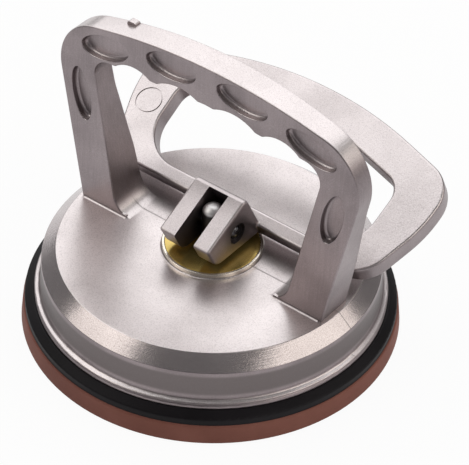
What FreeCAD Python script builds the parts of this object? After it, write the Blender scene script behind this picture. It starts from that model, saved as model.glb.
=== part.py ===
import FreeCAD, Part
import math
import os
import Sketcher
from FreeCAD import Placement, Rotation, Vector

# Hand vacuum lifter for floor tiles. Millimetres, +Z up, origin at the centre of the
# rubber's suction face. X runs along the arch handle and the lever's hinge axis, and the
# lever's loop lies to the back (+Y). The model stands released: rubber flat, lever down.

DIMENSIONS = (
    # rubber face and diaphragm
    ("pad_radius", 60.0, "suction face at its lip"),
    ("face_thick", 6.4, "red rubber face"),
    ("face_draft", 0.7, "lip leans in by this over its height"),
    ("diaphragm_thick", 3.8, "black rubber sheet"),
    ("diaphragm_step", 0.5, "black rubber's edge inside the red one"),
    ("diaphragm_lip", 2.6, "width of the sloping edge of the black sheet"),
    ("rubber_edge", 0.8, "rounding of rubber edges"),
    ("rubber_bevel", 0.25, "lower edge of the suction face"),
    # die-cast housing
    ("flange_radius", 55.6, "foot flange of the housing"),
    ("flange_height", 2.2, "flange edge"),
    ("bead_depth", 0.35, "groove round the flange's edge"),
    ("bead_height", 0.8, "groove round the flange's edge"),
    ("flange_lip", 0.4, "bevel of the flange's upper edge"),
    ("wall_foot", 0.6, "bevel where the wall stands on the flange"),
    ("wall_radius_low", 53.9, "outer wall above the flange"),
    ("wall_radius_high", 53.2, "outer wall under the chamfer band"),
    ("band_height", 4.1, "height of the sloping band"),
    ("top_radius", 48.5, "flat top of the housing"),
    ("top_height", 26.5, "flat top above the suction face"),
    ("wall_thick", 3.4, "side wall of the housing"),
    ("roof_thick", 3.6, "roof of the housing"),
    ("guide_radius", 8.0, "tube that guides the stud"),
    ("guide_length", 3.5, "tube below the roof"),
    ("rib_thick", 2.2, "ribs under the roof"),
    ("rib_depth", 2.4, "ribs under the roof"),
    ("rib_count", 6.0, "ribs under the roof"),
    ("rim_width", 0.9, "raised rim round the washer"),
    ("rim_height", 1.7, "raised rim above the flat top"),
    ("rim_foot", 0.5, "rounding where the rim stands on the flat top"),
    ("rim_outer", 0.25, "rounding of the rim's outer edge"),
    ("rim_inner", 0.15, "rounding of the rim's inner edge"),
    ("band_round", 0.4, "rounding of the sloping band's two edges"),
    ("guide_round", 1.0, "rounding where the guide joins the roof"),
    ("wall_round", 2.0, "rounding where the wall joins the roof, inside"),
    ("seat_depth", 0.4, "washer's seat below the flat top"),
    # arch handle, one casting with the housing
    ("foot_half", 47.0, "outer edge of the leg at the flat top"),
    ("leg_width", 14.0, "leg measured along X"),
    ("shoulder_reach", 12.0, "outer corner before rounding, outside the foot"),
    ("shoulder_fall", 11.8, "outer corner before rounding, below the apex"),
    ("apex_height", 101.2, "crest before rounding"),
    ("crest_radius", 188.0, "crest of the handle"),
    ("shoulder_radius", 17.0, "outer corners"),
    ("grip_depth", 17.0, "underside of the grip at the middle, below the apex"),
    ("grip_fall", 2.8, "drop of the underside to its corner"),
    ("armpit_radius", 6.0, "inner corners under the grip"),
    ("foot_sweep", 8.0, "inner foot radius"),
    ("arch_foot_half", 7.1, "half thickness at the feet"),
    ("arch_top_half", 4.9, "front face's distance from the middle at the crest"),
    ("back_radius", 500.0, "back of the handle, bowed seen from above"),
    ("back_foot", 8.3, "bowed back's distance from the middle at the feet"),
    ("back_knee", 7.4, "bowed back's distance at the lower knee"),
    ("back_knee_height", 44.0, "lower knee of the back"),
    ("back_top", 4.4, "bowed back's distance along the grip"),
    ("back_round", 30.0, "rounding of the back's profile where its slope changes"),
    ("back_top_height", 68.0, "upper knee of the back"),
    ("scallop_at", 0.2277, "inner scallops, share of the grip's half span"),
    ("scallop_radius", 0.345, "inner scallops, share of the half span"),
    ("scallop_rise", 0.0483, "inner scallops, share of the half span"),
    ("outer_scallop_at", 0.6255, "outer scallops, share of the half span"),
    ("outer_scallop_radius", 0.253, "outer scallops, share of the half span"),
    ("outer_scallop_rise", 0.0529, "outer scallops, share of the half span"),
    ("knuckle_radius", 1.2, "ridges between the finger scallops"),
    ("arch_edge", 0.5, "rounding of the handle's edges"),
    ("foot_sink", 0.1, "sweeps end this far under the flat top"),
    ("foot_fillet", 0.9, "fillet where the legs' front faces meet the flat top"),
    ("foot_fillet_run", 4.0, "that fillet runs this far along the sweep"),
    ("dimple_depth", 2.2, "oval recesses"),
    ("dimple_floor_radius", 1.0, "rounding round the floor of the oval recesses"),
    ("dimple_rim", 0.3, "rounding of the rim of the oval recesses"),
    ("stub_at", -32.9, "casting stub on the handle's back edge"),
    ("stub_width", 3.4, "casting stub"),
    ("stub_height", 1.1, "casting stub above the crest line"),
    ("stub_thick", 2.2, "casting stub"),
    ("stub_inset", 0.4, "casting stub from the handle's back"),
    ("dimple_length", 0.316, "oval recesses along the grip, share of the half span"),
    ("dimple_width", 8.4, "oval recesses in the grip"),
    ("leg_dimple_length", 18.8, "oval recesses in the legs"),
    ("leg_dimple_width", 7.0, "oval recesses in the legs"),
    ("dimple_at", 0.2237, "inner oval recesses, share of the shoulders' half span"),
    ("dimple_below", 5.9, "inner oval recesses below the crest"),
    ("dimple_tilt", 4.0, "inner oval recesses, degrees"),
    ("dimple_outer_at", 0.651, "outer oval recesses, share of the half span"),
    ("dimple_outer_below", 10.7, "outer oval recesses below the crest"),
    ("dimple_outer_tilt", 15.0, "outer oval recesses, degrees"),
    ("leg_dimple_fall", 23.4, "oval recesses in the legs, below the outer corner"),
    # lever: loop, cam lugs and pin
    ("pin_height", 36.5, "hinge axis above the suction face, released"),
    ("rest_tilt", 27.0, "loop above the horizontal, released, degrees"),
    ("swing", 63.0, "released to upright, degrees"),
    ("loop_half", 57.0, "loop's outer half width"),
    ("loop_far", 58.6, "loop's far edge from the hinge"),
    ("loop_near", 7.0, "crossbar's near edge from the hinge"),
    ("loop_near_half", 49.0, "crossbar's corner before rounding"),
    ("loop_near_radius", 13.0, "near corners"),
    ("loop_bend", 24.0, "bend of the side bars from the near edge"),
    ("loop_bend_radius", 45.0, "bend of the side bars"),
    ("loop_crown", 10.8, "far corners stand this far back from the far edge"),
    ("loop_slope", 0.284, "slope of the far bar beside its crown"),
    ("loop_radius", 135.0, "crown of the far bar"),
    ("loop_corner", 12.0, "far corners"),
    ("mark_at_x", -48.6, "round mark on the left side bar"),
    ("mark_at_y", 28.0, "round mark on the left side bar"),
    ("mark_radius", 4.7, "round mark on the left side bar"),
    ("mark_line", 0.45, "round mark's fine groove"),
    ("mark_depth", 0.3, "round mark on the left side bar"),
    ("hole_half", 41.4, "opening's half width"),
    ("hole_far", 50.6, "opening's far edge before rounding"),
    ("hole_slope", 0.27, "slope of the opening's far edge"),
    ("hole_radius", 80.0, "crown of the opening"),
    ("hole_near_radius", 14.5, "opening's near corners"),
    ("hole_flare", 0.8, "the opening widens by this towards its far corners"),
    ("hole_corner", 7.0, "opening's far corners"),
    ("crossbar_width", 5.0, "crossbar along the loop"),
    ("loop_drop", 6.9, "loop's top face below the hinge axis"),
    ("loop_thick", 7.0, "loop"),
    ("loop_edge", 0.9, "rounding of the loop's edges"),
    ("block_half", 9.6, "both lugs, half width"),
    ("slot_width", 7.4, "gap between the lugs"),
    ("block_top", 7.8, "top of the lugs above the hinge axis"),
    ("lug_edge", 0.8, "rounding of the lugs' outer edges"),
    ("lug_nose", 0.8, "rounding above the locking cam"),
    ("block_back", 8.8, "back of the lugs from the hinge"),
    ("cam_rest", 6.9, "cam's resting flat from the hinge axis"),
    ("cam_lock", 12.4, "cam's locking flat from the hinge axis"),
    ("cam_radius", 5.0, "nose between the two cam flats"),
    ("slot_end", 6.9, "end of the gap from the hinge"),
    ("ridge_radius", 2.2, "rounding of the ridge at the back of the lugs"),
    ("relief_step", 0.6, "crossbar's level cut below the resting flat"),
    ("pin_radius", 2.3, "cross pin"),
    ("pin_recess", 3.5, "counterbore round the pin's ends, radius"),
    ("recess_depth", 1.2, "counterbore round the pin's ends"),
    ("pin_inset", 0.3, "pin's ends inside the lugs' faces"),
    # stud, washer, plate, spring
    ("stud_radius", 3.5, "pull stud"),
    ("stud_above", 6.3, "stud's crown above the hinge axis"),
    ("washer_radius", 14.9, "wear washer"),
    ("washer_thick", 2.0, "wear washer"),
    ("plate_radius", 34.0, "steel backing plate"),
    ("plate_thick", 2.5, "steel backing plate"),
    ("foot_radius", 4.0, "stud's foot in the plate"),
    ("collar_radius", 6.0, "stud's collar on the plate"),
    ("collar_height", 2.0, "stud's collar on the plate"),
    ("spring_radius", 10.4, "return spring, mean"),
    ("spring_wire", 0.7, "return spring, wire radius"),
    ("spring_turns", 3.0, "return spring"),
    ("lock_gap", 0.42, "cam's locking flat above the washer, upright"),
    ("running_fit", 0.08, "radial clearance of turning and sliding fits"),
    ("seat_fit", 0.05, "clearance of parts that only rest"),
)


def make_sheet(document):
    sheet = document.addObject("Spreadsheet::Sheet", "Dimensions")
    for row, (alias, value, note) in enumerate(DIMENSIONS, start=1):
        sheet.set("A%d" % row, alias)
        sheet.set("B%d" % row, repr(value))
        sheet.set("C%d" % row, note)
        sheet.setAlias("B%d" % row, alias)
    document.recompute()
    return sheet


class Size:
    """A number with the spreadsheet expression that drives it."""

    def __init__(self, value, text):
        self.value = value
        self.text = text

    @staticmethod
    def of(item):
        if isinstance(item, Size):
            return item
        return Size(float(item), repr(float(item)))

    def join(self, other, sign, value):
        return Size(value, "(%s %s %s)" % (self.text, sign, other.text))

    def __add__(self, other):
        other = Size.of(other)
        return self.join(other, "+", self.value + other.value)

    def __sub__(self, other):
        other = Size.of(other)
        return self.join(other, "-", self.value - other.value)

    def __mul__(self, other):
        other = Size.of(other)
        return self.join(other, "*", self.value * other.value)

    def __truediv__(self, other):
        other = Size.of(other)
        return self.join(other, "/", self.value / other.value)

    def __radd__(self, other):
        return Size.of(other) + self

    def __rsub__(self, other):
        return Size.of(other) - self

    def __rmul__(self, other):
        return Size.of(other) * self

    def __rtruediv__(self, other):
        return Size.of(other) / self

    def __neg__(self):
        return Size(-self.value, "(0 - %s)" % self.text)


def sine(angle):
    return Size(math.sin(math.radians(angle.value)), "sin(%s)" % angle.text)


def cosine(angle):
    return Size(math.cos(math.radians(angle.value)), "cos(%s)" % angle.text)


def root(length):
    return Size(math.sqrt(length.value), "sqrt(%s)" % length.text)


def slope_angle(slope):
    """Degrees of a slope, as a plain number."""
    return Size(math.degrees(math.atan(slope.value)), "(atan(%s) / 1 deg)" % slope.text)


class Dimensions:
    """The driving sizes: each is an attribute that knows its spreadsheet cell."""

    def __init__(self, document):
        sheet = document.addObject("Spreadsheet::Sheet", "Dimensions")
        for row, (alias, value, note) in enumerate(DIMENSIONS, start=1):
            sheet.set("A%d" % row, alias)
            sheet.set("B%d" % row, repr(value))
            sheet.set("C%d" % row, note)
            sheet.setAlias("B%d" % row, alias)
        document.recompute()
        for alias, _, _ in DIMENSIONS:
            setattr(self, alias, Size(float(sheet.get(alias)), "Dimensions." + alias))


doc = FreeCAD.newDocument("tile_suction_lifter")
d = Dimensions(doc)


def bind(item, name, length):
    item.setExpression(name, Size.of(length).text)


# --- sketches ---------------------------------------------------------------------------


def new_body(label):
    body = doc.addObject("PartDesign::Body", label)
    body.Label = label
    return body


def new_sketch(body, name, role, offset=None):
    """Sketch on an origin plane of its own body, lifted along the plane's normal."""
    sketch = body.newObject("Sketcher::SketchObject", name)
    plane = [item for item in body.Origin.OriginFeatures if item.Role == role][0]
    sketch.AttachmentSupport = [(plane, "")]
    sketch.MapMode = "FlatFace"
    if offset is not None:
        sketch.AttachmentOffset = Placement(Vector(0, 0, offset.value), Rotation())
        bind(sketch, "AttachmentOffset.Base.z", offset)
    return sketch


def hold(sketch, kind, geometry, position, length):
    """Fix a sketch point's X or Y to a size."""
    number = sketch.addConstraint(
        Sketcher.Constraint(kind, -1, 1, geometry, position, length.value))
    bind(sketch, "Constraints[%d]" % number, length)


def corner_point(sketch, x, y):
    point = sketch.addGeometry(Part.Point(Vector(x.value, y.value, 0)), True)
    hold(sketch, "DistanceX", point, 1, x)
    hold(sketch, "DistanceY", point, 1, y)
    return point


def outline(sketch, corners):
    """Closed outline through corners (x, y) or (x, y, radius) joined by straight sides."""
    corners = [tuple(Size.of(item) for item in corner) for corner in corners]
    flat = [Vector(c[0].value, c[1].value, 0) for c in corners]
    count = len(corners)
    leave, arrive = [], []
    for index, corner in enumerate(corners):
        back = (flat[index - 1] - flat[index]).normalize()
        ahead = (flat[(index + 1) % count] - flat[index]).normalize()
        cut = 0.0
        if len(corner) == 3:
            half = back.getAngle(ahead) / 2
            cut = corner[2].value / math.tan(half)
        arrive.append(flat[index] + back * cut)
        leave.append(flat[index] + ahead * cut)
    points = [corner_point(sketch, c[0], c[1]) for c in corners]
    sides = []
    for index in range(count):
        after = (index + 1) % count
        side = sketch.addGeometry(Part.LineSegment(leave[index], arrive[after]))
        sketch.addConstraint(Sketcher.Constraint("PointOnObject", points[index], 1, side))
        sketch.addConstraint(Sketcher.Constraint("PointOnObject", points[after], 1, side))
        sides.append(side)
    for index, corner in enumerate(corners):
        before = sides[index - 1]
        if len(corner) == 2:
            sketch.addConstraint(
                Sketcher.Constraint("Coincident", before, 2, sides[index], 1))
            continue
        round_corner(sketch, before, sides[index], arrive[index], leave[index],
                     flat[index], corner[2])


def round_corner(sketch, before, after, start, end, corner, radius):
    inward = ((start + end) * 0.5 - corner).normalize()
    half = (start - corner).getAngle(end - corner) / 2
    centre = corner + inward * (radius.value / math.sin(half))
    turn = (corner - start).cross(end - corner).z
    first, last = (start, end) if turn > 0 else (end, start)
    circle = Part.Circle(centre, Vector(0, 0, 1), radius.value)
    arc = sketch.addGeometry(Part.ArcOfCircle(
        circle, circle.parameter(first), circle.parameter(last)))
    ends = (1, 2) if turn > 0 else (2, 1)
    sketch.addConstraint(Sketcher.Constraint("Tangent", before, 2, arc, ends[0]))
    sketch.addConstraint(Sketcher.Constraint("Tangent", arc, ends[1], after, 1))
    number = sketch.addConstraint(Sketcher.Constraint("Radius", arc, radius.value))
    bind(sketch, "Constraints[%d]" % number, radius)


def circle_at(sketch, x, y, radius):
    x, y = Size.of(x), Size.of(y)
    circle = sketch.addGeometry(
        Part.Circle(Vector(x.value, y.value, 0), Vector(0, 0, 1), radius.value))
    hold(sketch, "DistanceX", circle, 3, x)
    hold(sketch, "DistanceY", circle, 3, y)
    number = sketch.addConstraint(Sketcher.Constraint("Radius", circle, radius.value))
    bind(sketch, "Constraints[%d]" % number, radius)


def mirrored(half):
    """A right-hand run of corners, then the same run mirrored about the Y axis."""
    return list(half) + [(-corner[0],) + tuple(corner[1:]) for corner in reversed(half)]


# --- features ---------------------------------------------------------------------------


def settle(body, feature, removes=False):
    """Recompute, and make sure that the feature really adds or removes material."""
    before = feature.BaseFeature.Shape.Volume if feature.BaseFeature else 0.0
    doc.recompute()
    change = feature.Shape.Volume - before
    if (change >= 0) if removes else (change <= 0):
        raise RuntimeError("%s changes nothing" % feature.Label)
    return feature


def pad(body, name, sketch, length, symmetric=False):
    feature = body.newObject("PartDesign::Pad", name)
    feature.Profile = sketch
    feature.SideType = "Symmetric" if symmetric else "One side"
    bind(feature, "Length", length)
    return settle(body, feature)


def pocket(body, name, sketch, length=None, reverse=False):
    """Blind pocket of a length, or right through both ways."""
    feature = body.newObject("PartDesign::Pocket", name)
    feature.Profile = sketch
    if length is None:
        feature.Type = "ThroughAll"
        feature.SideType = "Symmetric"
    else:
        feature.Reversed = reverse
        bind(feature, "Length", length)
    return settle(body, feature, removes=True)


def revolve(body, name, sketch, axis, removes=False):
    kind = "PartDesign::Groove" if removes else "PartDesign::Revolution"
    feature = body.newObject(kind, name)
    feature.Profile = sketch
    feature.ReferenceAxis = (sketch, [axis])
    feature.Angle = 360
    return settle(body, feature, removes)


def fillet(body, name, radius, wanted):
    """Fillet on those edges of the body's tip that the function picks."""
    tip = body.Tip
    names = ["Edge%d" % (number + 1)
             for number, edge in enumerate(tip.Shape.Edges) if wanted(edge)]
    if not names:
        raise RuntimeError("%s finds no edge" % name)
    feature = body.newObject("PartDesign::Fillet", name)
    feature.Base = (tip, names)
    bind(feature, "Radius", radius)
    doc.recompute()
    return feature


def near(a, b, slack=0.02):
    return abs(a - b) < slack


def middle(edge):
    return edge.valueAt((edge.FirstParameter + edge.LastParameter) / 2)


def is_ring(edge, radius, height):
    """A full circle about the Z axis at a radius and height."""
    box = edge.BoundBox
    return (near(box.ZMin, height) and near(box.ZMax, height)
            and near(box.XMax, radius) and near(box.XMin, -radius))


# --- levels that several pieces share ----------------------------------------------------

diaphragm_bottom = d.face_thick
housing_bottom = diaphragm_bottom + d.diaphragm_thick
flange_top = housing_bottom + d.flange_height
roof_bottom = d.top_height - d.roof_thick
seat_radius = d.washer_radius + d.running_fit
washer_bottom = d.top_height - d.seat_depth
washer_top = washer_bottom + d.washer_thick
rim_radius = seat_radius + d.rim_width
bore_radius = d.stud_radius + d.running_fit
plate_bottom = housing_bottom + d.seat_fit
plate_top = plate_bottom + d.plate_thick
shoulder_half = d.foot_half + d.shoulder_reach
shoulder_height = d.apex_height - d.shoulder_fall
grip_height = d.apex_height - d.grip_depth
crest_slope = d.shoulder_fall / shoulder_half
crest_height = d.apex_height - d.crest_radius * (root(1 + crest_slope * crest_slope) - 1)
lift = d.cam_lock + d.lock_gap + washer_top - d.pin_height


# --- rubber -------------------------------------------------------------------------------


def make_suction_face():
    """Red rubber face: a thick disc whose edge leans in towards the top."""
    body = new_body("suction_face_rubber")
    sketch = new_sketch(body, "face_profile", "XZ_Plane")
    top = d.pad_radius - d.face_draft
    outline(sketch, [(0, 0), (d.pad_radius - d.rubber_bevel, 0),
                     (d.pad_radius, d.rubber_bevel),
                     (top, d.face_thick, d.rubber_edge), (0, d.face_thick)])
    revolve(body, "face_disc", sketch, "V_Axis")
    return body


def make_diaphragm():
    """Black rubber sheet: flat where the housing's flange clamps it, sloping outside."""
    body = new_body("diaphragm_rubber")
    sketch = new_sketch(body, "sheet_profile", "XZ_Plane")
    edge = d.pad_radius - d.face_draft - d.diaphragm_step
    outline(sketch, [(0, diaphragm_bottom), (edge, diaphragm_bottom),
                     (edge, diaphragm_bottom + d.diaphragm_thick * 0.6, d.rubber_edge),
                     (edge - d.diaphragm_lip, housing_bottom, d.rubber_edge),
                     (0, housing_bottom)])
    revolve(body, "sheet_disc", sketch, "V_Axis")
    return body


# --- housing and arch handle, one casting ------------------------------------------------

leg_lean = d.shoulder_reach / (shoulder_height - d.top_height)
grip_corner_height = grip_height - d.grip_fall
grip_corner = (d.foot_half - d.leg_width
               + leg_lean * (grip_corner_height - d.top_height))
foot_bottom = d.top_height - d.roof_thick / 2


def make_shell(body):
    """Revolved housing: flange with a beaded edge, wall, sloping band, roof and guide."""
    sketch = new_sketch(body, "housing_profile", "XZ_Plane")
    band_bottom = d.top_height - d.band_height
    bead = d.flange_height / 2
    groove = d.bead_height / 2
    outline(sketch, [
        (bore_radius, roof_bottom - d.guide_length),
        (d.guide_radius, roof_bottom - d.guide_length),
        (d.guide_radius, roof_bottom, d.guide_round),
        (d.wall_radius_high - d.wall_thick, roof_bottom, d.wall_round),
        (d.wall_radius_low - d.wall_thick, housing_bottom),
        (d.flange_radius, housing_bottom),
        (d.flange_radius, housing_bottom + bead - groove),
        (d.flange_radius - d.bead_depth, housing_bottom + bead),
        (d.flange_radius, housing_bottom + bead + groove),
        (d.flange_radius, flange_top - d.flange_lip),
        (d.flange_radius - d.flange_lip, flange_top),
        (d.wall_radius_low + d.wall_foot, flange_top),
        (d.wall_radius_low, flange_top + d.wall_foot),
        (d.wall_radius_high, band_bottom, d.band_round),
        (d.top_radius, d.top_height, d.band_round),
        (rim_radius, d.top_height, d.rim_foot),
        (rim_radius, d.top_height + d.rim_height, d.rim_outer),
        (seat_radius, d.top_height + d.rim_height, d.rim_inner),
        (seat_radius, washer_bottom),
        (bore_radius, washer_bottom)])
    revolve(body, "housing_shell", sketch, "V_Axis")


def make_ribs(body):
    """Radial ribs under the roof."""
    sketch = new_sketch(body, "rib_outline", "XY_Plane", roof_bottom - d.rib_depth)
    outer = d.wall_radius_high - d.wall_thick + 0.5
    inner = d.spring_radius + d.spring_wire * 3
    outline(sketch, [(inner, -d.rib_thick / 2), (outer, -d.rib_thick / 2),
                     (outer, d.rib_thick / 2), (inner, d.rib_thick / 2)])
    rib = pad(body, "roof_rib", sketch, d.rib_depth + 0.2)
    pattern = body.newObject("PartDesign::PolarPattern", "roof_ribs")
    pattern.Originals = [rib]
    pattern.Axis = (sketch, ["N_Axis"])
    pattern.Angle = 360
    bind(pattern, "Occurrences", d.rib_count)
    body.Tip = pattern
    doc.recompute()


def make_arch(body):
    """Arch handle: crowned crest, leaning legs that sweep into the roof at their feet."""
    sketch = new_sketch(body, "arch_outline", "XZ_Plane")
    foot_out = d.foot_half - leg_lean * (d.top_height - foot_bottom)
    foot_in = d.foot_half - d.leg_width
    half = [
        (foot_in - d.foot_sweep, foot_bottom),
        (foot_out, foot_bottom),
        (shoulder_half, shoulder_height, d.shoulder_radius)]
    sunk = d.top_height - d.foot_sink
    inner = [
        (grip_corner, grip_corner_height, d.armpit_radius),
        (foot_in, sunk, d.foot_sweep),
        (foot_in - d.foot_sweep, sunk)]
    outline(sketch, half + [(Size.of(0), d.apex_height, d.crest_radius)]
            + [(-c[0],) + c[1:] for c in reversed(half)]
            + [(-c[0],) + c[1:] for c in reversed(inner)]
            + [(Size.of(0), grip_height)] + inner)
    pad(body, "arch", sketch, d.back_foot * 2, symmetric=True)


def taper_arch(body):
    """The front face leans in towards the crest; the back bows and thins the legs."""
    sketch = new_sketch(body, "taper_outline", "YZ_Plane")
    above = d.apex_height + 1
    outline(sketch, [(-d.arch_foot_half, d.top_height), (-d.arch_top_half, above),
                     (-d.arch_foot_half * 2, above), (-d.arch_foot_half * 2, foot_bottom),
                     (-d.arch_foot_half, foot_bottom)])
    pocket(body, "arch_taper", sketch)
    axis = d.back_radius - d.back_top
    bow = new_sketch(body, "bow_outline", "YZ_Plane")
    bow.AttachmentOffset = Placement(Vector(-axis.value, 0, 0), Rotation())
    bind(bow, "AttachmentOffset.Base.x", -axis)
    clear = axis + d.back_foot * 3
    outline(bow, [(axis + d.back_foot, foot_bottom), (clear, foot_bottom), (clear, above),
                  (axis + d.back_top, above), (axis + d.back_top, d.back_top_height, d.back_round),
                  (axis + d.back_knee, d.back_knee_height, d.back_round)])
    revolve(body, "arch_bow", bow, "V_Axis", removes=True)


def make_scallops(body):
    """Four finger scallops cut up into the underside of the grip."""
    slope = d.grip_fall / grip_corner
    for name, at, radius, rise in (
            ("inner", d.scallop_at, d.scallop_radius, d.scallop_rise),
            ("outer", d.outer_scallop_at, d.outer_scallop_radius, d.outer_scallop_rise)):
        at, radius, rise = at * grip_corner, radius * grip_corner, rise * grip_corner
        line = grip_height - slope * at
        for hand, side in (("left", -1), ("right", 1)):
            sketch = new_sketch(body, "%s_%s_outline" % (hand, name), "XZ_Plane")
            circle_at(sketch, at * side, line + rise - radius, radius)
            pocket(body, "%s_%s_scallop" % (hand, name), sketch)


def oval(sketch, x, y, length, width, angle):
    """Ellipse about a point, its long axis turned by an angle in degrees."""
    x, y = Size.of(x), Size.of(y)
    turn = math.radians(angle.value)
    along = Vector(math.cos(turn), math.sin(turn), 0)
    across = Vector(-along.y, along.x, 0)
    centre = Vector(x.value, y.value, 0)
    ellipse = sketch.addGeometry(Part.Ellipse(
        centre + along * (length.value / 2), centre + across * (width.value / 2), centre))
    sketch.exposeInternalGeometry(ellipse)
    hold(sketch, "DistanceX", ellipse, 3, x)
    hold(sketch, "DistanceY", ellipse, 3, y)
    for axis, span in ((ellipse + 1, length), (ellipse + 2, width)):
        number = sketch.addConstraint(Sketcher.Constraint("Distance", axis, span.value))
        bind(sketch, "Constraints[%d]" % number, span)
    line = sketch.Geometry[ellipse + 1]
    forward = (line.EndPoint - line.StartPoint).dot(along) > 0
    heading = angle if forward else angle + 180
    number = sketch.addConstraint(
        Sketcher.Constraint("Angle", ellipse + 1, math.radians(heading.value)))
    bind(sketch, "Constraints[%d]" % number, heading)


def front_at(height):
    """Distance of the arch's leaning front face from the middle, at a height."""
    rise = (height - d.top_height) / (d.apex_height + 1 - d.top_height)
    return d.arch_foot_half - rise * (d.arch_foot_half - d.arch_top_half)


def back_at(along):
    """Distance of the arch's bowed back from the middle, above its upper knee."""
    bow = d.back_radius - root(d.back_radius * d.back_radius - along * along)
    return d.back_top - bow


def make_dimples(body):
    """Oval recesses in both faces: four along the grip and one in each leg."""
    lean = slope_angle(leg_lean)
    leg_height = shoulder_height - d.leg_dimple_fall
    leg_middle = (d.foot_half - d.leg_width / 2
                  + leg_lean * (leg_height - d.top_height))
    ovals = (
        ("inner", d.dimple_at * shoulder_half, crest_height - d.dimple_below,
         d.dimple_length * shoulder_half, d.dimple_width, -d.dimple_tilt),
        ("outer", d.dimple_outer_at * shoulder_half, crest_height - d.dimple_outer_below,
         d.dimple_length * shoulder_half, d.dimple_width, -d.dimple_outer_tilt),
        ("leg", leg_middle, leg_height, d.leg_dimple_length,
         d.leg_dimple_width, 90 - lean))
    outside = d.arch_foot_half + 1
    for name, at, height, length, width, angle in ovals:
        for face, side, surface in (("front", 1, front_at(height)), ("back", -1, back_at(at))):
            sketch = new_sketch(body, "%s_%s_ovals" % (face, name), "XZ_Plane",
                                outside * side)
            oval(sketch, at, height, length, width, angle)
            oval(sketch, -at, height, length, width, -angle)
            pocket(body, "%s_%s_dimples" % (face, name), sketch,
                   outside - surface + d.dimple_depth, reverse=side < 0)


def make_casting_stub(body):
    """Small stub on the handle's back edge, left where the metal was fed in."""
    sketch = new_sketch(body, "stub_outline", "XZ_Plane", d.stub_inset - back_at(d.stub_at))
    fall = d.crest_radius - root(d.crest_radius * d.crest_radius - d.stub_at * d.stub_at)
    foot = crest_height - fall - d.stub_height
    top = crest_height - fall + d.stub_height
    left, right = d.stub_at - d.stub_width / 2, d.stub_at + d.stub_width / 2
    corner = d.stub_width * 0.3
    outline(sketch, [(left, foot), (right, foot), (right, top, corner), (left, top, corner)])
    pad(body, "casting_stub", sketch, d.stub_thick)


def make_foot_fillets(body):
    """Small fillet along the foot of each leg's front face."""
    front = -d.arch_foot_half
    reach = d.foot_half - d.foot_fillet
    length = d.leg_width + d.foot_fillet_run - d.foot_fillet
    for hand, start in (("left", -reach), ("right", reach - length)):
        sketch = new_sketch(body, "%s_foot_fillet_outline" % hand, "YZ_Plane", start)
        outline(sketch, [
            (front + d.foot_fillet, foot_bottom), (front - d.foot_fillet, foot_bottom),
            (front - d.foot_fillet, d.top_height),
            (front, d.top_height, d.foot_fillet * 0.95),
            (front, d.top_height + d.foot_fillet),
            (front + d.foot_fillet, d.top_height + d.foot_fillet)])
        pad(body, "%s_foot_fillet" % hand, sketch, length)


def is_knuckle(edge):
    """Ridges across the grip's underside, between the finger scallops."""
    box = edge.BoundBox
    point = middle(edge)
    across = box.YLength > 3 and box.XLength < 0.05 and box.ZLength < 0.05
    in_grip = abs(point.z - grip_height.value) < d.grip_fall.value + 0.5
    return across and in_grip and abs(point.x) < (grip_corner - d.armpit_radius).value - 1


def is_arch_rim(edge):
    """Edges where the arch's front or back face meets its outline, above the feet."""
    box = edge.BoundBox
    point = middle(edge)
    across = box.YLength > 4 or (box.ZLength < 0.02 and box.XLength > box.YLength + 4)
    if point.z < d.top_height.value + 0.2 or across:
        return False
    front = near(-point.y, front_at(Size.of(point.z)).value, 0.03)
    return front or point.y > d.back_top.value - 4


def is_dimple_floor(edge):
    return edge.isClosed() and edge.BoundBox.YLength < 0.05


def is_dimple_rim(edge):
    return edge.isClosed() and edge.BoundBox.YLength > 0.05


def make_body_casting():
    body = new_body("body_casting")
    make_arch(body)
    taper_arch(body)
    make_scallops(body)
    fillet(body, "knuckles", d.knuckle_radius, is_knuckle)
    fillet(body, "arch_edges", d.arch_edge, is_arch_rim)
    make_dimples(body)
    fillet(body, "dimple_floors", d.dimple_floor_radius, is_dimple_floor)
    fillet(body, "dimple_rims", d.dimple_rim, is_dimple_rim)
    make_casting_stub(body)
    make_shell(body)
    make_foot_fillets(body)
    make_ribs(body)
    return body


# --- lever: drawn flat, hinge axis along X, loop along Y, then tilted ------------------------


def lever_at_rest(body):
    body.Placement = Placement(Vector(0, 0, d.pin_height.value),
                               Rotation(Vector(1, 0, 0), d.rest_tilt.value))
    bind(body, "Placement.Base.z", d.pin_height)
    bind(body, "Placement.Rotation.Angle", d.rest_tilt)


def make_loop(body):
    """Closed loop: crowned far bar, leaning side bars and the crossbar at the hinge."""
    sketch = new_sketch(body, "loop_outline", "XY_Plane", -d.loop_drop - d.loop_thick)
    far_corner = d.loop_far - d.loop_crown
    side = [(d.loop_near_half, d.loop_near, d.loop_near_radius),
            (d.loop_half, d.loop_near + d.loop_bend, d.loop_bend_radius),
            (d.loop_half, far_corner, d.loop_corner)]
    crown = (Size.of(0), far_corner + d.loop_half * d.loop_slope, d.loop_radius)
    outline(sketch, side + [crown] + mirrored(side)[3:])
    hole_near = d.loop_near + d.crossbar_width
    hole_far = d.hole_far - d.hole_half * d.hole_slope
    half = [(d.hole_half, hole_near, d.hole_near_radius),
            (d.hole_half + d.hole_flare, hole_far, d.hole_corner)]
    outline(sketch, mirrored(half)[:2] + [(Size.of(0), d.hole_far, d.hole_radius)]
            + mirrored(half)[2:])
    pad(body, "loop", sketch, d.loop_thick)
    fillet(body, "loop_edges", d.loop_edge, lambda edge: edge.BoundBox.ZLength < 0.01)


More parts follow.
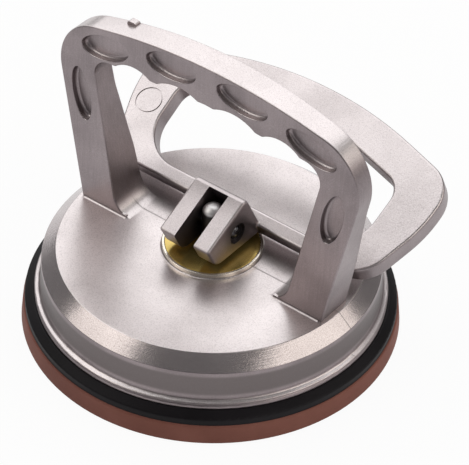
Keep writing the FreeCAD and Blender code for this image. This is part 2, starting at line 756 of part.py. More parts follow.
def mark_loop(body):
    """Fine ring that the mould's ejector leaves on one side bar."""
    sketch = new_sketch(body, "mark_outline", "XY_Plane", -d.loop_drop)
    circle_at(sketch, d.mark_at_x, d.mark_at_y, d.mark_radius)
    circle_at(sketch, d.mark_at_x, d.mark_at_y, d.mark_radius - d.mark_line)
    pocket(body, "ejector_mark", sketch, d.mark_depth)


cam_corner = (d.cam_lock * sine(d.rest_tilt) - d.cam_rest) / cosine(d.rest_tilt)


def is_lug_side(edge):
    """Outline of either outer face of the lug block, clear of the loop."""
    point = middle(edge)
    on_side = near(abs(point.x), d.block_half.value) and edge.BoundBox.XLength < 0.01
    clear = point.z > 0.3 - d.loop_drop.value or point.y < d.loop_near.value
    return on_side and clear


def make_lugs(body):
    """Block with the two cam flats: one faces the washer at rest, one when upright."""
    sketch = new_sketch(body, "lug_outline", "YZ_Plane")
    root_at = d.loop_near + d.crossbar_width / 2
    flat_end = (-d.cam_rest - root_at * sine(d.rest_tilt)) / cosine(d.rest_tilt)
    outline(sketch, [
        (-d.cam_lock, d.block_top, d.lug_nose),
        (-d.cam_lock, cam_corner, d.cam_radius),
        (root_at, flat_end),
        (root_at, -d.loop_drop - 1),
        (d.block_back, -d.loop_drop - 1),
        (d.block_back, d.block_top, d.ridge_radius)])
    pad(body, "lug_block", sketch, d.block_half * 2, symmetric=True)
    fillet(body, "lug_edges", d.lug_edge, is_lug_side)


def relieve_crossbar(body):
    """The crossbar's lower near edge is cut level, so that it clears the washer."""
    sketch = new_sketch(body, "relief_outline", "YZ_Plane")
    tilt = d.rest_tilt
    level = d.cam_rest + d.relief_step
    beyond = d.loop_near - 1
    low = -d.loop_drop - d.loop_thick - 1
    outline(sketch, [
        (beyond, low),
        ((-level - low * cosine(tilt)) / sine(tilt), low),
        (beyond, (-level - beyond * sine(tilt)) / cosine(tilt))])
    pocket(body, "crossbar_relief", sketch)


def cut_slot(body):
    """Gap between the lugs, which straddles the stud."""
    sketch = new_sketch(body, "slot_outline", "XY_Plane")
    outline(sketch, [(-d.slot_width / 2, -d.cam_lock - 1), (d.slot_width / 2, -d.cam_lock - 1),
                     (d.slot_width / 2, d.slot_end), (-d.slot_width / 2, d.slot_end)])
    pocket(body, "stud_slot", sketch)


def bore_lugs(body):
    """Hole for the cross pin, counterbored on the outside of each lug."""
    sketch = new_sketch(body, "pin_bore_outline", "XY_Plane")
    step = d.block_half - d.recess_depth
    end = d.block_half + 1
    outline(sketch, [(-end, 0), (end, 0), (end, d.pin_recess), (step, d.pin_recess),
                     (step, d.pin_radius), (-step, d.pin_radius), (-step, d.pin_recess),
                     (-end, d.pin_recess)])
    revolve(body, "pin_bore", sketch, "H_Axis", removes=True)


def make_lever():
    body = new_body("lever_casting")
    make_loop(body)
    make_lugs(body)
    relieve_crossbar(body)
    cut_slot(body)
    bore_lugs(body)
    mark_loop(body)
    lever_at_rest(body)
    return body


def make_pin():
    """Cross pin with domed ends that sit just inside the lugs' counterbores."""
    body = new_body("lever_pin")
    sketch = new_sketch(body, "pin_profile", "XY_Plane")
    end = d.block_half - d.pin_inset
    dome = d.pin_radius * 0.8
    outline(sketch, [(-end, 0), (end, 0), (end, d.pin_radius, dome),
                     (-end, d.pin_radius, dome)])
    revolve(body, "pin_shank", sketch, "H_Axis")
    lever_at_rest(body)
    return body


# --- stud, washer, plate and spring ---------------------------------------------------------


def make_stud():
    """Pull stud: domed crown, cross hole for the pin, collar and foot in the plate."""
    body = new_body("pull_stud")
    sketch = new_sketch(body, "stud_profile", "XZ_Plane")
    crown = d.pin_height + d.stud_above
    outline(sketch, [
        (0, plate_bottom), (d.foot_radius, plate_bottom), (d.foot_radius, plate_top),
        (d.collar_radius, plate_top), (d.collar_radius, plate_top + d.collar_height, 0.4),
        (d.stud_radius, plate_top + d.collar_height, 0.4),
        (d.stud_radius, crown, d.stud_radius * 0.85), (0, crown)])
    revolve(body, "stud_shank", sketch, "V_Axis")
    hole = new_sketch(body, "pin_hole_outline", "YZ_Plane")
    circle_at(hole, 0, d.pin_height, d.pin_radius + d.running_fit)
    pocket(body, "pin_hole", hole)
    return body


def make_washer():
    """Plated wear washer that the cam's flats bear on."""
    body = new_body("wear_washer")
    sketch = new_sketch(body, "washer_profile", "XZ_Plane")
    outline(sketch, [(bore_radius, washer_bottom), (d.washer_radius, washer_bottom, 0.2),
                     (d.washer_radius, washer_top, 0.15), (bore_radius, washer_top, 0.3)])
    revolve(body, "washer_ring", sketch, "V_Axis")
    return body


def make_plate():
    """Steel plate under the stud's collar, which pulls the rubber's centre up."""
    body = new_body("backing_plate")
    sketch = new_sketch(body, "plate_profile", "XZ_Plane")
    outline(sketch, [(d.foot_radius, plate_bottom), (d.plate_radius, plate_bottom, 0.5),
                     (d.plate_radius, plate_top, 0.5), (d.foot_radius, plate_top)])
    revolve(body, "plate_disc", sketch, "V_Axis")
    return body


def make_spring():
    """Return spring between the plate and the roof."""
    wire, radius = d.spring_wire.value, d.spring_radius.value
    bottom = plate_top.value + d.seat_fit.value + wire
    rise = roof_bottom.value - d.seat_fit.value - wire - bottom
    coil = Part.makeHelix(rise / d.spring_turns.value, rise, radius)
    circle = Part.Wire(Part.makeCircle(wire, Vector(radius, 0, 0), Vector(0, 1, 0)))
    feature = doc.addObject("Part::Feature", "return_spring")
    feature.Label = "return_spring"
    feature.Shape = Part.Wire(coil.Edges).makePipeShell([circle], True, True)
    feature.Placement = Placement(Vector(0, 0, bottom), Rotation())
    return feature


def check(parts):
    """Stop if anything in the document failed, or a piece isn't one valid solid."""
    for item in doc.Objects:
        if "Invalid" in item.State or "Error" in item.State:
            raise RuntimeError("%s is %s" % (item.Label, item.State))
    for item in parts:
        shape = item.Shape
        if shape.isNull() or not shape.isValid() or len(shape.Solids) != 1:
            raise RuntimeError("%s isn't one valid solid" % item.Label)


pieces = [make_suction_face(), make_diaphragm(), make_body_casting(), make_lever(), make_pin(),
          make_stud(), make_washer(), make_plate(), make_spring()]
doc.recompute()
check(pieces)
os.makedirs("parts", exist_ok=True)
for piece in pieces:
    piece.Shape.exportStep("parts/%s.step" % piece.Label)
    print("%-22s %9.1f mm3" % (piece.Label, piece.Shape.Volume))
print("stud lift %.3f mm over %.1f degrees of lever" % (lift.value, d.swing.value))
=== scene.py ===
import math

import bpy
from mathutils import Matrix, Vector


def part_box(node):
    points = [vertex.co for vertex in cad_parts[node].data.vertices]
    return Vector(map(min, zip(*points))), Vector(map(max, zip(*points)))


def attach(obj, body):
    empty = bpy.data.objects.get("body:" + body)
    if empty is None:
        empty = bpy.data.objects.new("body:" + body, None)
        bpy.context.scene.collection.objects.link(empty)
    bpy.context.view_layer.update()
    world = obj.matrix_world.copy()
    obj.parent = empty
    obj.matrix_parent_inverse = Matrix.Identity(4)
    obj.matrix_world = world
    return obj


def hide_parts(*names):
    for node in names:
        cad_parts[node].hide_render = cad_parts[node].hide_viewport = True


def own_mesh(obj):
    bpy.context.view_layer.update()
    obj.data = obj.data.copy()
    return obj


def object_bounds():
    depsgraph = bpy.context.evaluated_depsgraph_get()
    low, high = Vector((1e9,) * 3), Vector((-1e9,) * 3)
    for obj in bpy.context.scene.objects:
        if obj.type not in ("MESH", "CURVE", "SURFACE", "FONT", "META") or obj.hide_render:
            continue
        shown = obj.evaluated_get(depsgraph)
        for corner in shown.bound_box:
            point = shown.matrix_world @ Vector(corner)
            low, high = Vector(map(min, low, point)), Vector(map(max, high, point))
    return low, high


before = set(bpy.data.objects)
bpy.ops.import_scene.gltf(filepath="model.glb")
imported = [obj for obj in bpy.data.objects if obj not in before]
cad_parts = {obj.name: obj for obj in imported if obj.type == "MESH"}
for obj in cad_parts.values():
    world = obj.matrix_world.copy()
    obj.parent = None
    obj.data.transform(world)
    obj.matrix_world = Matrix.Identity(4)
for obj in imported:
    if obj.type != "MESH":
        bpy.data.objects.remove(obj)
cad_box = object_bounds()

bl_info = {
    "name": "Suction lifter looks",
    "version": (1, 0, 0),
    "blender": (4, 5, 0),
    "location": "3D View > Sidebar > Lifter",
    "description": "Finishes, fine detail and a small studio for a tile suction lifter",
    "category": "Object",
}

# Where the finishes, painted light and painted shade change over, in metres, as pairs: no share
# yet, full share.
# Heights above the suction face:
# Top of the painted shade on the housing's lower wall:
SHADED_WALL_TOP = (0.0216, 0.0204)
BAND_LOW = (0.0222, 0.0226)
BAND_HIGH = (0.0265, 0.0262)
# Heights of the painted highlight on the ring round the washer:
RIM_LOW = (0.0266, 0.0272)
RIM_HIGH = (0.0310, 0.0300)
SEAM_TOP = (0.0300, 0.0290)
LEGS = (0.0280, 0.0360)
# Heights above the housing's lower edge:
# Bottom of the painted shade on the housing's lower wall:
SHADED_WALL_FOOT = (0.0032, 0.0046)
# Distances from the housing's axis, from the hinge axis, from the middle plane, and back
# from the hinge:
RIM_OUTER = (0.0170, 0.0162)
# The painted shade round the pin reaches out to these two distances:
PIN_RECESS = (0.00365, 0.00340)
PIN_SHADE_HALO = (0.0080, 0.0036)
SEAM_WIDTH = (0.00030, 0.00008)
LOOP_NEAR = (0.0060, 0.0085)

HINGE_HEIGHT = 0.0365
CROWN_DEPTH = 0.0017
# Blur at the top of the painted shade on the stud:
SHADE_EDGE = 0.0008
LEVER_TILT = math.radians(27.0)


# --- shader expressions -----------------------------------------------------------------------


class Signal:
    """A shader value that can be written in sums."""

    def __init__(self, tree, socket):
        self.tree = tree
        self.socket = socket

    def math(self, operation, *values):
        node = self.tree.nodes.new("ShaderNodeMath")
        node.operation = operation
        for place, value in zip(node.inputs, values):
            connect(self.tree, value, place)
        return Signal(self.tree, node.outputs[0])

    def __add__(self, other):
        return self.math("ADD", self, other)

    def __mul__(self, other):
        return self.math("MULTIPLY", self, other)

    def __sub__(self, other):
        return self.math("SUBTRACT", self, other)

    def __rsub__(self, other):
        return self.math("SUBTRACT", other, self)

    __radd__ = __add__


def connect(tree, value, place):
    """Link a signal to an input, or set a plain value on it."""
    if isinstance(value, Signal):
        tree.links.new(value.socket, place)
    else:
        place.default_value = value


class Finish:
    """One material, built from nodes on the object's own coordinates in metres."""

    def __init__(self, name):
        self.material = bpy.data.materials.new(name)
        self.material.use_nodes = True
        self.tree = self.material.node_tree
        self.tree.nodes.clear()
        self.place = self.node("ShaderNodeTexCoord", out="Object")
        self.facing = self.node("ShaderNodeTexCoord", out="Normal")

    def node(self, kind, out=0, settings=None, **values):
        """Add a node; inputs are named with _ for a space, or by i and their number."""
        node = self.tree.nodes.new(kind)
        for key, value in (settings or {}).items():
            setattr(node, key, value)
        for key, value in values.items():
            numbered = key[0] == "i" and key[1:].isdigit()
            place = int(key[1:]) if numbered else key.replace("_", " ")
            connect(self.tree, value, node.inputs[place])
        return Signal(self.tree, node.outputs[out])

    def part(self, vector, axis):
        """X, Y or Z of a vector."""
        return self.node("ShaderNodeSeparateXYZ", out=axis, Vector=vector)

    def span(self, first, second):
        """Distance from an axis, by the two ways across it."""
        flat = self.node("ShaderNodeCombineXYZ", X=first, Y=second)
        return self.node("ShaderNodeVectorMath", out="Value",
                         settings={"operation": "LENGTH"}, i0=flat)

    def noise(self, scale, detail=2.0, rough=0.5, place=None):
        return self.node("ShaderNodeTexNoise", out="Fac", settings={"normalize": True},
                         Vector=place or self.place, Scale=scale, Detail=detail,
                         Roughness=rough)

    def ramp(self, value, low, high, start=0.0, end=1.0):
        """Smooth rise from start to end as the value goes from low to high."""
        return self.node("ShaderNodeMapRange", settings={"interpolation_type": "SMOOTHSTEP"},
                         Value=value, From_Min=low, From_Max=high, To_Min=start, To_Max=end)

    def blend(self, amount, first, second):
        """Colour that goes from first to second as the amount rises."""
        return self.node("ShaderNodeMix", out=2, settings={"data_type": "RGBA"},
                         i0=amount, i6=first, i7=second)

    def lines(self, distance, scale, detail):
        """Noise along one distance alone, as a lathe leaves it."""
        return self.node("ShaderNodeTexNoise", out="Fac", settings={"noise_dimensions": "1D"},
                         W=distance * scale, Scale=1.0, Detail=detail)

    def bump(self, height, depth, strength):
        return self.node("ShaderNodeBump", Height=height, Distance=depth, Strength=strength)

    def surface(self, **values):
        shader = self.node("ShaderNodeBsdfPrincipled", **values)
        self.node_output(shader)
        return self.material

    def node_output(self, shader):
        output = self.tree.nodes.new("ShaderNodeOutputMaterial")
        self.tree.links.new(shader.socket, output.inputs["Surface"])


def solid_colour(colour):
    return (colour[0], colour[1], colour[2], 1.0)


# --- finishes ----------------------------------------------------------------------------------


def cast_finish(name, finish, level, turned=False):
    """Blasted aluminium casting: dull grey walls with painted shade, painted light where a face
    lies level.

    level is the direction, in the object's own frame, of the faces that get the painted light.
    A turned casting also carries fine lathe rings and a parting line on its flat top.
    """
    made = Finish(name)
    up = made.node("ShaderNodeVectorMath", out="Value", settings={"operation": "DOT_PRODUCT"},
                   i0=made.facing, i1=level)
    flat = made.ramp(up, 0.55, 0.90)
    patch = made.ramp(made.noise(55.0, 3.0), 0.3, 0.7)
    if turned:
        patch = brushed_legs(made, patch)
    grain = made.noise(1500.0, 2.0, 0.7)
    fine = made.noise(3300.0, 1.0)
    pits = made.ramp(fine, 0.50, 0.28)
    flecks = made.ramp(fine, 0.52, 0.74)
    # Walls take the shaded colours and level faces the lit ones: painted shade and painted light
    # on one casting.
    wall = made.blend(patch, solid_colour(finish.wall_shaded_dark), solid_colour(finish.wall_shaded_pale))
    face = made.blend(patch, solid_colour(finish.face_lit_dark), solid_colour(finish.face_lit_pale))
    # Share of painted light, by how far a face points along level.
    painted_light = flat
    # On the lever the lugs get less painted light than the loop: painted shade over the lugs.
    if not turned:
        painted_light = flat * made.ramp(made.part(made.place, 1), *LOOP_NEAR,
                                    finish.lug_painted_light, finish.loop_painted_light)
    colour = made.blend(painted_light, wall, face)
    # Painted glints: the bright flecks show most on level faces, with the painted light.
    glint_share = 0.25 + flat * 0.50
    rough = finish.casting_roughness + grain * 0.10 - flat * finish.level_gloss
    if turned:
        height = made.part(made.place, 2)
        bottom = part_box("body_casting")[0][2]
        # Painted shade on the housing's lower wall over the flange, where fewer glints show.
        foot = [bottom + level for level in SHADED_WALL_FOOT]
        shaded_band = made.ramp(height, *SHADED_WALL_TOP) * made.ramp(height, *foot)
        colour = made.blend(shaded_band, colour, solid_colour(finish.wall_low_shade))
        glint_share = glint_share * (1.0 - shaded_band * 0.7)
        # Painted highlight: the ring round the washer is painted bright.
        rim_highlight = rim_highlight_share(made, height)
        colour = made.blend(rim_highlight, colour, solid_colour(finish.rim_highlight))
        band = made.ramp(height, *BAND_LOW) * made.ramp(height, *BAND_HIGH)
        rough = rough - band * finish.band_gloss - rim_highlight * 0.12
    else:
        # Painted shade round each end of the cross pin.
        colour = made.blend(pin_painted_shade(made), colour, solid_colour(finish.recess_shade))
    colour = made.blend(pits * finish.speckle, colour, solid_colour(finish.speck))
    colour = made.blend(flecks * glint_share * finish.speckle, colour, solid_colour(finish.glint_fleck))
    relief = grain
    if turned:
        rings, seam = turned_marks(made, flat)
        relief = relief * (1.0 - flat * 0.7) + rings * 0.5 + seam * 1.6
        colour = made.blend(seam * 0.35, colour, solid_colour(finish.speck))
    normal = made.bump(relief, 0.00010, finish.grain)
    return made.surface(Base_Color=colour, Metallic=0.92, Roughness=rough, Normal=normal)


def brushed_legs(made, patch):
    """Mix fine upright streaks into the patches on the arch's legs, as linishing leaves them."""
    drawn = made.node("ShaderNodeVectorMath", settings={"operation": "MULTIPLY"},
                      i0=made.place, i1=(1.0, 1.0, 0.05))
    streaks = made.ramp(made.noise(1500.0, 2.0, place=drawn), 0.32, 0.68)
    share = made.ramp(made.part(made.place, 2), *LEGS) * 0.22
    return patch * (1.0 - share) + streaks * share


def rim_highlight_share(made, height):
    """Share of the painted highlight on the turned ring that stands round the washer."""
    distance = made.span(made.part(made.place, 0), made.part(made.place, 1))
    stands = made.ramp(height, *RIM_LOW) * made.ramp(height, *RIM_HIGH)
    return made.ramp(distance, *RIM_OUTER) * stands


def pin_painted_shade(made):
    """Share of the painted shade round each end of the cross pin, in its hollow and about it."""
    back, height = made.part(made.place, 1), made.part(made.place, 2)
    distance = made.span(back, height - HINGE_HEIGHT)
    return made.ramp(distance, *PIN_SHADE_HALO) * 0.55 + made.ramp(distance, *PIN_RECESS) * 0.40


def turned_marks(made, flat):
    """Lathe rings about the centre, and the mould's parting line, both on level faces."""
    across, along, height = (made.part(made.place, axis) for axis in range(3))
    rings = made.lines(made.span(across, along), 2600.0, 3.0) * flat
    offset = along.math("ABSOLUTE", along)
    seam = made.ramp(offset, *SEAM_WIDTH) * made.ramp(height, *SEAM_TOP) * flat
    return rings, seam


def washer_finish(finish):
    """Yellow zinc plating over a turned steel washer."""
    made = Finish("washer_gold")
    distance = made.span(made.part(made.place, 0), made.part(made.place, 1))
    rings = made.lines(distance, 9000.0, 2.0)
    cloud = made.noise(140.0, 3.0)
    colour = made.blend(made.ramp(cloud, 0.3, 0.7), solid_colour(finish.gold_dark),
                        solid_colour(finish.gold_pale))
    rough = 0.14 + rings * 0.06 + cloud * 0.06
    normal = made.bump(rings, 0.00002, 0.4)
    return made.surface(Base_Color=colour, Metallic=0.8, Roughness=rough, Normal=normal)


def steel_finish(name, colour, roughness, shaded_below=None):
    """Plain steel with fine turning grain, and painted shade below a given height."""
    made = Finish(name)
    grain = made.noise(2200.0, 2.0)
    cloud = made.noise(160.0, 2.0)
    tone = made.blend(made.ramp(cloud, 0.3, 0.7) * 0.5, solid_colour(colour),
                      solid_colour([0.75 * value for value in colour]))
    # Painted shade on the stud below its crown.
    if shaded_below:
        shank_shade = made.ramp(made.part(made.place, 2), shaded_below, shaded_below - SHADE_EDGE)
        tone = made.blend(shank_shade, tone, solid_colour([0.10 * value for value in colour]))
    normal = made.bump(grain, 0.00003, 0.4)
    return made.surface(Base_Color=tone, Metallic=1.0, Roughness=roughness + grain * 0.08,
                        Normal=normal)


def rubber_finish(name, colour, pale, roughness, grain_size, depth, shine):
    """Moulded rubber with a fine skin and a little bloom."""
    made = Finish(name)
    grain = made.noise(grain_size, 3.0, 0.6)
    cloud = made.noise(38.0, 3.0)
    tone = made.blend(made.ramp(cloud, 0.35, 0.75), solid_colour(colour), solid_colour(pale))
    tone = made.blend(made.ramp(grain, 0.55, 0.8) * 0.3, tone, solid_colour(pale))
    rough = roughness + cloud * 0.12
    normal = made.bump(grain, depth, 0.6)
    return made.surface(Base_Color=tone, Roughness=rough, Normal=normal,
                        Specular_IOR_Level=shine)


def smooth_by_angle(piece, degrees=58.0):
    """Weld the facets' corners and shade across shallow edges, all as modifiers.

    Normals are weighted by area, so that broad faces stay flat beside small fillets.
    """
    weld = piece.modifiers.new("join_corners", "WELD")
    weld.merge_threshold = 0.000002
    group = bpy.data.node_groups.get("shade_shallow_edges")
    if group is None:
        group = bpy.data.node_groups.new("shade_shallow_edges", "GeometryNodeTree")
        group.interface.new_socket("Geometry", in_out="INPUT", socket_type="NodeSocketGeometry")
        group.interface.new_socket("Geometry", in_out="OUTPUT", socket_type="NodeSocketGeometry")
        start = group.nodes.new("NodeGroupInput")
        end = group.nodes.new("NodeGroupOutput")
        angle = group.nodes.new("GeometryNodeInputMeshEdgeAngle")
        shallow = group.nodes.new("FunctionNodeCompare")
        shallow.data_type = "FLOAT"
        shallow.operation = "LESS_EQUAL"
        shallow.inputs[1].default_value = math.radians(degrees)
        faces = group.nodes.new("GeometryNodeSetShadeSmooth")
        faces.domain = "FACE"
        edges = group.nodes.new("GeometryNodeSetShadeSmooth")
        edges.domain = "EDGE"
        link = group.links.new
        link(start.outputs[0], faces.inputs["Geometry"])
        link(faces.outputs[0], edges.inputs["Geometry"])
        link(angle.outputs["Unsigned Angle"], shallow.inputs[0])
        link(shallow.outputs[0], edges.inputs["Shade Smooth"])
        link(edges.outputs[0], end.inputs[0])
    shade = piece.modifiers.new("shade_shallow_edges", "NODES")
    shade.node_group = group
    even = piece.modifiers.new("broad_faces_lead", "WEIGHTED_NORMAL")
    even.mode = "FACE_AREA"
    even.weight = 60
    even.keep_sharp = True


def dress(node, material):
    """Give a carried-over node its finish."""
    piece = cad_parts[node]
    if not piece.material_slots:
        piece.data.materials.append(material)
    for place in piece.material_slots:
        place.material = material
    smooth_by_angle(piece)


def coiled_spring(material):
    """A copy of the spring, carried with the housing, that stands in for the hidden original."""
    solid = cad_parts["return_spring"]
    spring = bpy.data.objects.new("coiled_spring", solid.data.copy())
    spring.matrix_world = solid.matrix_world.copy()
    bpy.context.scene.collection.objects.link(spring)
    spring.data.materials.clear()
    spring.data.materials.append(material)
    smooth_by_angle(spring)
    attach(spring, "housing")
    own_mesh(spring)
    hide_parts("return_spring")


# --- settings ----------------------------------------------------------------------------------


def colour_setting(name, description, default):
    return bpy.props.FloatVectorProperty(
        name=name, description=description, default=default, size=3, min=0.0, max=1.0,
        subtype="COLOR")


class LifterFinishes(bpy.types.PropertyGroup):
    # Wall colours are painted shade and face colours painted light, shown by which way a face
    # points.
    wall_shaded_dark: colour_setting("Casting walls", "As-cast walls, darker patches",
                              (0.235, 0.199, 0.205))
    wall_shaded_pale: colour_setting("Casting walls, pale", "As-cast walls, paler patches",
                              (0.340, 0.289, 0.297))
    face_lit_dark: colour_setting("Casting faces", "Linished faces, darker patches",
                              (0.64, 0.585, 0.582))
    face_lit_pale: colour_setting("Casting faces, pale", "Linished faces, paler patches",
                              (0.76, 0.700, 0.697))
    # Painted shade for the housing's lower wall over the flange.
    wall_low_shade: colour_setting("Housing's lower wall", "Darker turned wall over the flange",
                             (0.165, 0.142, 0.142))
    speck: colour_setting("Specks", "Small dark pits left by blasting", (0.20, 0.18, 0.18))
    # Flecks are painted glints, bright specks that stand for facets catching the light.
    glint_fleck: colour_setting("Flecks", "Small bright facets of the skin", (0.92, 0.90, 0.90))
    # Painted shade for the hollow round the pin.
    recess_shade: colour_setting("Pin recess", "Oily dark recess round the pin",
                           (0.050, 0.045, 0.045))
    # Painted highlight on the turned ring round the washer.
    rim_highlight: colour_setting("Washer's rim", "Bright turned rim round the washer",
                        (0.86, 0.80, 0.70))
    speckle: bpy.props.FloatProperty(
        name="Speckle", description="How plain the pits and flecks are", default=0.28,
        min=0.0, max=1.0, subtype="FACTOR")
    grain: bpy.props.FloatProperty(
        name="Grain", description="How deep the blasted skin's grain looks", default=0.36,
        min=0.0, max=1.0, subtype="FACTOR")
    # Painted light on the lever's level faces, dimmer over the lugs as painted shade.
    lug_painted_light: bpy.props.FloatProperty(
        name="Lug brightness", description="How far the lugs' faces were linished",
        default=0.68, min=0.0, max=1.0, subtype="FACTOR")
    loop_painted_light: bpy.props.FloatProperty(
        name="Loop brightness", description="How far the lever's loop was linished",
        default=0.90, min=0.0, max=1.0, subtype="FACTOR")
    casting_roughness: bpy.props.FloatProperty(
        name="Casting roughness", description="How dull the blasted skin is", default=0.32,
        min=0.0, max=1.0, subtype="FACTOR")
    level_gloss: bpy.props.FloatProperty(
        name="Level gloss", description="How much smoother the linished faces are",
        default=0.06, min=0.0, max=1.0, subtype="FACTOR")
    band_gloss: bpy.props.FloatProperty(
        name="Band gloss", description="How much smoother the turned band is",
        default=0.12, min=0.0, max=1.0, subtype="FACTOR")
    gold_dark: colour_setting("Washer", "Yellow plating, darker", (0.50, 0.365, 0.105))
    gold_pale: colour_setting("Washer, pale", "Yellow plating, paler", (0.68, 0.510, 0.170))
    pin_colour: colour_setting("Pin", "Dark steel of the cross pin", (0.10, 0.10, 0.105))
    stud_colour: colour_setting("Stud", "Bright steel of the stud", (0.85, 0.83, 0.83))
    plate_lift: bpy.props.FloatProperty(
        name="Plate lift", description="How far the lever raises the backing plate",
        default=0.00442, min=0.0, unit="LENGTH")
    rubber_black: colour_setting("Black rubber", "Diaphragm", (0.0045, 0.0035, 0.0045))
    rubber_black_pale: colour_setting("Black rubber, pale", "Bloom on the diaphragm",
                                      (0.0110, 0.0090, 0.0115))
    rubber_red: colour_setting("Red rubber", "Suction face", (0.205, 0.074, 0.054))
    rubber_red_pale: colour_setting("Red rubber, pale", "Worn suction face",
                                    (0.280, 0.112, 0.085))


class LifterStudio(bpy.types.PropertyGroup):
    floor: colour_setting("Floor", "Pale plain floor", (0.90, 0.90, 0.90))
    whiteness: bpy.props.FloatProperty(
        name="Floor whiteness", description="Share of plain white that the floor shows",
        default=0.94, min=0.0, max=1.0, subtype="FACTOR")
    world: colour_setting("World", "Even light from all round", (0.17, 0.167, 0.17))
    overhead: bpy.props.FloatProperty(
        name="Overhead light", description="Softbox above and behind", default=11.0,
        min=0.0, unit="POWER")
    sides: bpy.props.FloatProperty(
        name="Side softboxes", description="Two soft lights, at the front's left and at the right",
        default=5.0, min=0.0, unit="POWER")
    distance: bpy.props.FloatProperty(
        name="Camera distance", description="From the aim point", default=0.7123,
        min=0.1, unit="LENGTH")
    azimuth: bpy.props.FloatProperty(
        name="Camera azimuth", description="Round the lifter from its front",
        default=math.radians(36.61), subtype="ANGLE")
    elevation: bpy.props.FloatProperty(
        name="Camera elevation", description="Above the floor",
        default=math.radians(40.53), subtype="ANGLE")
    tilt: bpy.props.FloatProperty(
        name="Camera tilt", description="Turn about the line of sight",
        default=math.radians(1.92), subtype="ANGLE")
    lens: bpy.props.FloatProperty(
        name="Lens", description="Focal length", default=176.55, min=10.0,
        unit="CAMERA")


# --- pieces ------------------------------------------------------------------------------------


class LIFTER_OT_castings(bpy.types.Operator):
    """Finish the housing with its arch handle, and the lever"""
    bl_idname = "lifter.castings"
    bl_label = "Castings"

    def execute(self, context):
        finish = context.scene.lifter_finishes
        dress("body_casting", cast_finish(
            "housing_aluminium", finish, (0.0, 0.0, 1.0), turned=True))
        over = (0.0, -math.sin(LEVER_TILT), math.cos(LEVER_TILT))
        dress("lever_casting", cast_finish("lever_aluminium", finish, over))
        return {"FINISHED"}


class LIFTER_OT_fittings(bpy.types.Operator):
    """Finish the pin, stud, washer, plate and spring"""
    bl_idname = "lifter.fittings"
    bl_label = "Fittings"

    def execute(self, context):
        finish = context.scene.lifter_finishes
        dress("wear_washer", washer_finish(finish))
        dress("lever_pin", steel_finish("pin_dark_steel", finish.pin_colour, 0.14))
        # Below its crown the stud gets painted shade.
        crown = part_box("pull_stud")[1][2] - CROWN_DEPTH
        dress("pull_stud", steel_finish("stud_steel", finish.stud_colour, 0.42, shaded_below=crown))
        plated = steel_finish("plated_steel", finish.stud_colour, 0.35)
        dress("backing_plate", plated)
        dress("return_spring", plated)
        coiled_spring(plated)
        return {"FINISHED"}


class LIFTER_OT_rubber(bpy.types.Operator):
    """Finish the diaphragm and the suction face"""
    bl_idname = "lifter.rubber"
    bl_label = "Rubber"

    def execute(self, context):
        finish = context.scene.lifter_finishes
        dress("diaphragm_rubber", rubber_finish(
            "black_rubber", finish.rubber_black, finish.rubber_black_pale,
            roughness=0.42, grain_size=900.0, depth=0.00006, shine=0.15))
        dress("suction_face_rubber", rubber_finish(
            "red_rubber", finish.rubber_red, finish.rubber_red_pale,
            roughness=0.62, grain_size=1100.0, depth=0.00012, shine=0.30))
        return {"FINISHED"}


def floor_finish(studio):
    """Pale floor that looks nearly white to the camera and in reflections."""
    made = Finish("studio_floor")
    lit = made.node("ShaderNodeBsdfDiffuse", Color=solid_colour(studio.floor))
    white = made.node("ShaderNodeEmission", Color=(1.0, 1.0, 1.0, 1.0), Strength=1.0)
    seen = made.node("ShaderNodeLightPath", out="Is Camera Ray")
    for kind in ("Is Glossy Ray", "Is Transmission Ray"):
        seen = seen + made.node("ShaderNodeLightPath", out=kind)
    shown = made.node("ShaderNodeMixShader", i0=seen * studio.whiteness, i1=lit, i2=white)
    made.node_output(shown)
    return made.material


def soft_light(name, power, size, place, aim, colour=(1.0, 1.0, 1.0)):
    lamp = bpy.data.lights.new(name, "AREA")
    lamp.shape = "RECTANGLE"
    lamp.size, lamp.size_y = size
    lamp.energy = power
    lamp.color = colour
    holder = bpy.data.objects.new(name, lamp)
    holder.location = place
    toward = Vector(aim) - Vector(place)
    holder.rotation_euler = toward.to_track_quat("-Z", "Y").to_euler()
    bpy.context.scene.collection.objects.link(holder)


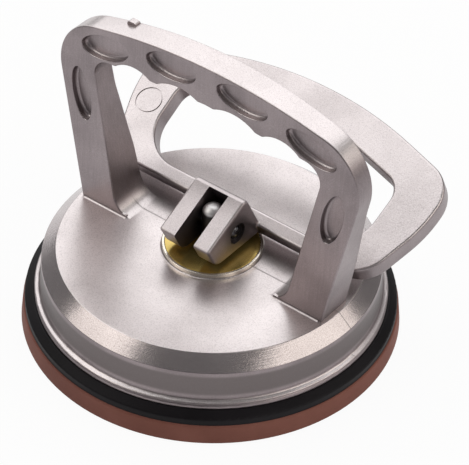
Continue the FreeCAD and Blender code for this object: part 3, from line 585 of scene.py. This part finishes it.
class LIFTER_OT_stage(bpy.types.Operator):
    """Make the floor, the lights and the camera"""
    bl_idname = "lifter.stage"
    bl_label = "Stage"

    def execute(self, context):
        studio = context.scene.lifter_studio
        self.make_floor(studio)
        self.make_lights(context.scene, studio)
        self.make_camera(context.scene, studio)
        return {"FINISHED"}

    def make_floor(self, studio):
        mesh = bpy.data.meshes.new("studio_floor")
        half = 6.0
        mesh.from_pydata([(-half, -half, 0), (half, -half, 0), (half, half, 0),
                          (-half, half, 0)], [], [(0, 1, 2, 3)])
        floor = bpy.data.objects.new("studio_floor", mesh)
        floor.location.z = cad_box[0][2] - 0.0002
        bpy.context.scene.collection.objects.link(floor)
        mesh.materials.append(floor_finish(studio))

    def make_lights(self, scene, studio):
        world = bpy.data.worlds.new("studio_world")
        world.use_nodes = True
        tree = world.node_tree
        tree.nodes.clear()
        light = tree.nodes.new("ShaderNodeBackground")
        light.inputs["Color"].default_value = solid_colour(studio.world)
        output = tree.nodes.new("ShaderNodeOutputWorld")
        tree.links.new(light.outputs[0], output.inputs["Surface"])
        scene.world = world
        middle = (0.0, 0.0, 0.04)
        soft_light("overhead_softbox", studio.overhead, (1.8, 1.5), (-0.50, 0.47, 0.86), middle)
        soft_light("left_softbox", studio.sides * 0.54, (0.75, 0.75), (-0.64, -0.71, 0.80),
                   middle, (1.0, 0.96, 0.90))
        soft_light("right_softbox", studio.sides * 1.25, (1.50, 0.85), (1.00, 0.25, 0.66), middle,
                   (1.0, 0.95, 0.88))

    def make_camera(self, scene, studio):
        azimuth, elevation = studio.azimuth, studio.elevation
        back = Vector((math.sin(azimuth) * math.cos(elevation),
                       -math.cos(azimuth) * math.cos(elevation), math.sin(elevation)))
        right = (-back).cross(Vector((0, 0, 1))).normalized()
        above = back.cross(right)
        aim = Vector((0, 0, 0.030)) + right * 0.00672 + above * 0.0015
        turn = Matrix.Rotation(studio.tilt, 3, back)
        side, top = turn @ right, turn @ above
        matrix = Matrix((side, top, back)).transposed().to_4x4()
        matrix.translation = aim + back * studio.distance
        lens = bpy.data.cameras.new("studio_camera")
        lens.lens = studio.lens
        lens.sensor_width = 36.0
        lens.sensor_fit = "HORIZONTAL"
        lens.clip_start = 0.05
        lens.clip_end = 20.0
        camera = bpy.data.objects.new("studio_camera", lens)
        camera.matrix_world = matrix
        scene.collection.objects.link(camera)
        scene.camera = camera
        scene.view_settings.view_transform = "Standard"


class LIFTER_PT_panel(bpy.types.Panel):
    """The lifter's pieces and finishes"""
    bl_idname = "LIFTER_PT_panel"
    bl_label = "Suction lifter"
    bl_space_type = "VIEW_3D"
    bl_region_type = "UI"
    bl_category = "Lifter"

    def draw(self, context):
        for operator in OPERATORS:
            self.layout.operator(operator.bl_idname)
        for group in (context.scene.lifter_finishes, context.scene.lifter_studio):
            for name in group.__annotations__:
                self.layout.prop(group, name)


OPERATORS = (LIFTER_OT_castings, LIFTER_OT_fittings, LIFTER_OT_rubber, LIFTER_OT_stage)
CLASSES = (LifterFinishes, LifterStudio) + OPERATORS + (LIFTER_PT_panel,)


def register():
    for kind in CLASSES:
        bpy.utils.register_class(kind)
    bpy.types.Scene.lifter_finishes = bpy.props.PointerProperty(type=LifterFinishes)
    bpy.types.Scene.lifter_studio = bpy.props.PointerProperty(type=LifterStudio)


def unregister():
    del bpy.types.Scene.lifter_studio
    del bpy.types.Scene.lifter_finishes
    for kind in reversed(CLASSES):
        bpy.utils.unregister_class(kind)


def main():
    register()
    bpy.ops.lifter.castings()
    bpy.ops.lifter.fittings()
    bpy.ops.lifter.rubber()
    bpy.ops.lifter.stage()


if __name__ == "__main__":
    main()
